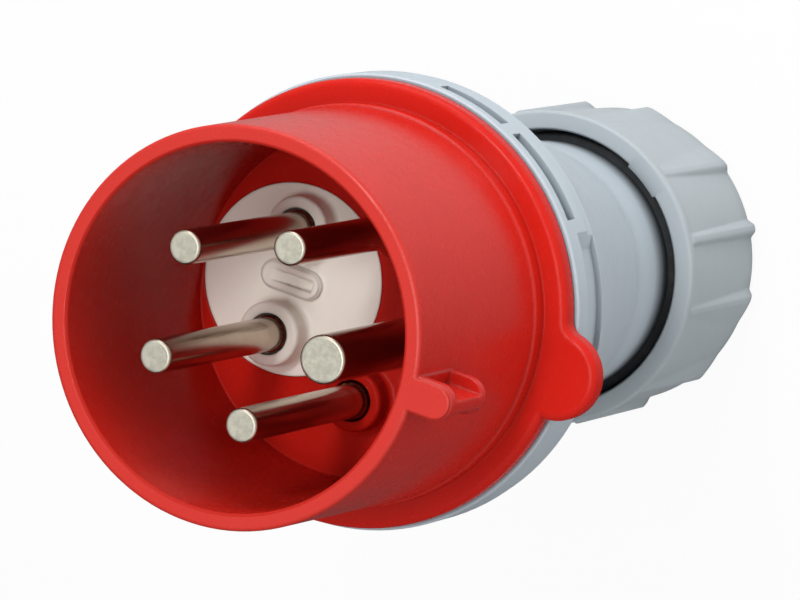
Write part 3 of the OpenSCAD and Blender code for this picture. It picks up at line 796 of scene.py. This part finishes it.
class PLUG_OT_seals(bpy.types.Operator):
    """Finish the rubber seals and mould the grommet's lips"""

    bl_idname = "plug.seals"
    bl_label = "Seals and grommet"

    def execute(self, context):
        look, size = context.scene.plug_finishes, context.scene.plug_sizes
        black = rubber("black_rubber_skin", look.rubber, 0.62, paled=(19.8 * MM, 21.0 * MM))
        soft = rubber("grommet_rubber_skin", (0.022, 0.024, 0.028), 0.55)
        paint(black, "flange_gasket", "neck_seal")
        paint(soft, "grommet")
        low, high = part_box("grommet")
        spacing = (high.z - low.z) / (size.lips + 1)
        lips = grown("grommet_lips", lips_tree(), {
            "Count": size.lips, "First": low.z + spacing, "Spacing": spacing, "Finish": soft})
        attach(lips, "plug")
        return {"FINISHED"}


class PLUG_OT_insulators(bpy.types.Operator):
    """Finish the terminal carrier, the clamp cage and the thrust ring"""

    bl_idname = "plug.insulators"
    bl_label = "Insulators and clamp"

    def execute(self, context):
        paint(moulded("carrier_polyamide", (0.47, 0.47, 0.45), 0.5, mottle=0.05), "terminal_carrier")
        paint(moulded("clamp_polyamide", (0.66, 0.65, 0.60), 0.45, mottle=0.04), "clamp_cage", "thrust_ring")
        return {"FINISHED"}


class PLUG_OT_studio(bpy.types.Operator):
    """Set the floor, the lights, the sky and the camera"""

    bl_idname = "plug.studio"
    bl_label = "Studio"

    def execute(self, context):
        scene, studio = context.scene, context.scene.plug_studio
        self.floor()
        self.sky(scene, studio.sky)
        aim = Vector(studio.aim)
        for name, (offset, width) in LAMPS.items():
            self.soft_light(name + "_light", aim + Vector(offset), aim, width, getattr(studio, name))
        camera = bpy.data.cameras.new("camera")
        camera.lens, camera.sensor_width, camera.clip_end = studio.lens, SENSOR_WIDTH, FAR
        eye = link_new("camera", camera)
        eye.location = studio.place
        turn = (aim - eye.location).to_track_quat("-Z", "Y").to_matrix()
        eye.rotation_euler = (turn @ Matrix.Rotation(studio.roll, 3, "Z")).to_euler()
        scene.camera = eye
        scene.view_settings.view_transform = "Standard"
        return {"FINISHED"}

    def floor(self):
        """Floor: nearly white to the camera and through glass, left out of mirrors, and it keeps the
        plug's shadow."""
        mesh = bpy.data.meshes.new("studio_floor")
        corners = [(x * FLOOR_HALF, y * FLOOR_HALF, 0) for x, y in ((-1, -1), (1, -1), (1, 1), (-1, 1))]
        mesh.from_pydata(corners, [], [(0, 1, 2, 3)])
        floor = link_new("studio_floor", mesh)
        material, tree, shader, where = new_material("studio_white")
        # painted shade: the floor's colour is darker towards the lower edge of the view, so it throws less
        # light up at the plug
        reach = vector_maths(tree, "DOT_PRODUCT", where, (0.2, 0.98, 0.0), out=1)
        white = remap(tree, reach, -0.3, 0.15, 0.32, 0.9)
        white = plus(tree, white, times(tree, noise(tree, where, 40, 3.0), 0.05))
        tree.links.new(grey_of(tree, white), shader.inputs["Base Color"])
        shader.inputs["Roughness"].default_value = 0.9
        shader.inputs["Specular IOR Level"].default_value = 0.1
        glow = add(tree, "ShaderNodeEmission", {"Strength": 1.0}).outputs[0]
        veil = times(tree, straight_rays(tree, add(tree, "ShaderNodeLightPath").outputs), 0.94)
        mixed = add(tree, "ShaderNodeMixShader", {0: veil, 1: shader.outputs[0], 2: glow}).outputs[0]
        out = next(n for n in tree.nodes if n.type == "OUTPUT_MATERIAL")
        tree.links.new(mixed, out.inputs["Surface"])
        mesh.materials.append(material)
        floor.visible_glossy = False

    def sky(self, scene, strength):
        """Soft light from all round, fuller above the view than below it, and white behind the plug."""
        world = bpy.data.worlds.new("studio_sky")
        world.use_nodes = True
        tree = world.node_tree
        tree.nodes.clear()
        toward = add(tree, "ShaderNodeTexCoord").outputs["Generated"]
        height = vector_maths(tree, "DOT_PRODUCT", toward, ABOVE, out=1)
        ahead = vector_maths(tree, "DOT_PRODUCT", toward, AHEAD, out=1)
        soft = remap(tree, height, -0.7, 0.8, 0.8 * strength, 1.15 * strength)
        soft = times(tree, soft, remap(tree, along_z(tree, toward), 0.1, 0.85, 1.1, 0.22))
        # metal mirrors a greyer sky, with a pale part ahead of the sleeve
        mirrored = remap(tree, height, -0.15, 0.45, 0.07, 0.52)
        mirrored = blend(tree, remap(tree, ahead, 0.35, 0.65, 0.0, 1.0), mirrored, 0.8)
        path = add(tree, "ShaderNodeLightPath").outputs
        glow = blend(tree, path["Is Glossy Ray"], soft, mirrored)
        glow = blend(tree, straight_rays(tree, path), glow, 1.0)
        sky = add(tree, "ShaderNodeBackground", {"Color": (1, 1, 1, 1), "Strength": glow}).outputs[0]
        add(tree, "ShaderNodeOutputWorld", {"Surface": sky})
        scene.world = world

    def soft_light(self, name, place, aim, width, power):
        lamp = bpy.data.lights.new(name, "AREA")
        lamp.shape, lamp.size, lamp.energy = "DISK", width, power
        light = link_new(name, lamp)
        light.location = place
        light.rotation_euler = (aim - place).to_track_quat("-Z", "Y").to_euler()


class PLUG_PT_panel(bpy.types.Panel):
    """Lists the plug's operators and properties"""

    bl_label = "Pin and sleeve plug"
    bl_idname = "PLUG_PT_panel"
    bl_space_type = "VIEW_3D"
    bl_region_type = "UI"
    bl_category = "Plug"

    def draw(self, context):
        for operator in OPERATORS:
            self.layout.operator(operator.bl_idname)
        for group in (context.scene.plug_finishes, context.scene.plug_sizes, context.scene.plug_studio):
            box = self.layout.box()
            for name in group.__annotations__:
                box.prop(group, name)


OPERATORS = (PLUG_OT_front_sleeve, PLUG_OT_housing, PLUG_OT_gland_nut, PLUG_OT_contacts, PLUG_OT_phase_insert,
             PLUG_OT_fasteners, PLUG_OT_seals, PLUG_OT_insulators, PLUG_OT_studio)
GROUPS = {"plug_finishes": PlugFinishes, "plug_sizes": PlugSizes, "plug_studio": PlugStudio}


def register():
    for group in GROUPS.values():
        bpy.utils.register_class(group)
    for name, group in GROUPS.items():
        setattr(bpy.types.Scene, name, bpy.props.PointerProperty(type=group))
    for item in (*OPERATORS, PLUG_PT_panel):
        bpy.utils.register_class(item)


def unregister():
    for item in (PLUG_PT_panel, *reversed(OPERATORS)):
        bpy.utils.unregister_class(item)
    for name in GROUPS:
        delattr(bpy.types.Scene, name)
    for group in GROUPS.values():
        bpy.utils.unregister_class(group)


def main():
    register()
    for operator in OPERATORS:
        group, name = operator.bl_idname.split(".")
        getattr(getattr(bpy.ops, group), name)()


if __name__ == "__main__":
    main()
